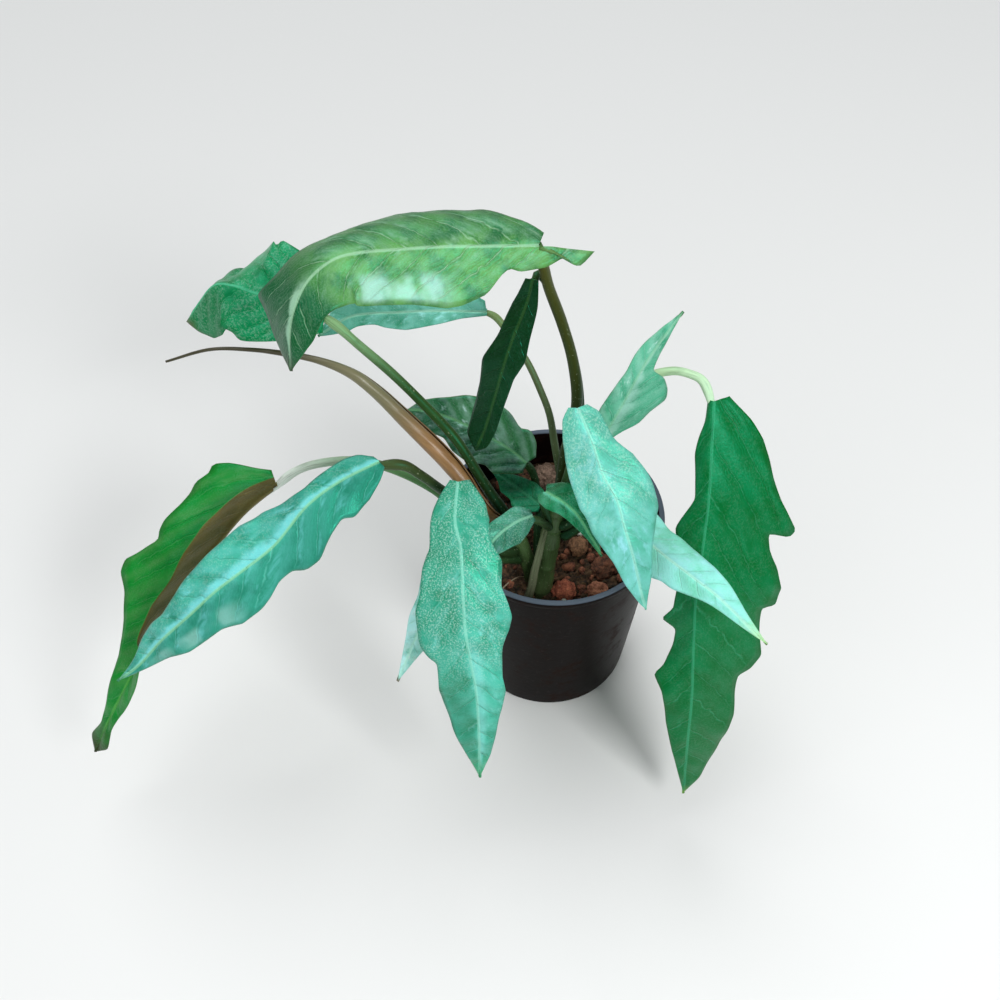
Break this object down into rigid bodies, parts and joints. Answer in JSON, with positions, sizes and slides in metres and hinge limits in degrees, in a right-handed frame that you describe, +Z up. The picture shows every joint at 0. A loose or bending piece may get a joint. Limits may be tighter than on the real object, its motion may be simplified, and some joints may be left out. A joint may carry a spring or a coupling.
{
  "type": "potted philodendron plant",
  "caption": "Potted philodendron with long lobed arching leaves on thin stalks, a rolled caramel new leaf and a plain round nursery pot.",
  "frame": {"origin": "centre of the pot's base, on the surface it stands on", "axes": "+Z up, along the pot's axis; -Y towards the viewer of the plant's front, where the stem stands nearest the rim; +X to the right of that view"},
  "size_m": [0.3813, 0.2118, 0.323],
  "materials": {
    "pot_plastic": "satin, near black",
    "soil": "loose and matt, dark brown",
    "baked_clay": "matt, reddish brown",
    "stem_green": "satin, green brown",
    "leaf_light": "satin, light green",
    "leaf_deep": "satin, deep green",
    "leaf_teal": "satin, blue green",
    "leaf_shade": "satin, dark green",
    "stalk_olive": "satin, olive",
    "stalk_pale": "satin, pale green",
    "stalk_green": "satin, dark green",
    "caramel_leaf": "satin, caramel"
  },
  "bodies": {
    "root": {"pot": "pot_plastic", "soil": "soil", "stem": "stem_green", "clod_back": "baked_clay", "clod_middle": "baked_clay", "clod_front": "baked_clay", "clod_front_right": "baked_clay", "clod_right": "baked_clay", "clod_left": "baked_clay", "clod_rear_1": "baked_clay", "clod_rear_2": "baked_clay", "clod_rear_3": "baked_clay", "clod_rear_4": "baked_clay", "rolled_new_leaf": "caramel_leaf", "blade_top": "leaf_light", "stalk_top": "stalk_olive", "blade_right_big": "leaf_deep", "stalk_right_big": "stalk_pale", "blade_front": "leaf_teal", "stalk_front": "stalk_green", "blade_left_front": "leaf_teal", "stalk_left_front": "stalk_green", "blade_left_big": "leaf_deep", "stalk_left_big": "stalk_pale", "blade_back_left": "leaf_deep", "stalk_back_left": "stalk_green", "blade_back_low": "leaf_teal", "stalk_back_low": "stalk_green", "blade_hanging": "leaf_shade", "stalk_hanging": "stalk_green", "blade_spear_right": "leaf_light", "stalk_spear_right": "stalk_green", "blade_front_right": "leaf_teal", "stalk_front_right": "stalk_green", "blade_front_right_low": "leaf_teal", "stalk_front_right_low": "stalk_green", "blade_behind_front": "leaf_teal", "stalk_behind_front": "stalk_green", "blade_small_front": "leaf_teal", "stalk_small_front": "stalk_green", "blade_back_broad": "leaf_teal", "stalk_back_broad": "stalk_green", "blade_small_middle": "leaf_deep", "stalk_small_middle": "stalk_green", "blade_small_back": "leaf_shade", "stalk_small_back": "stalk_green"}
  },
  "joints": []
}
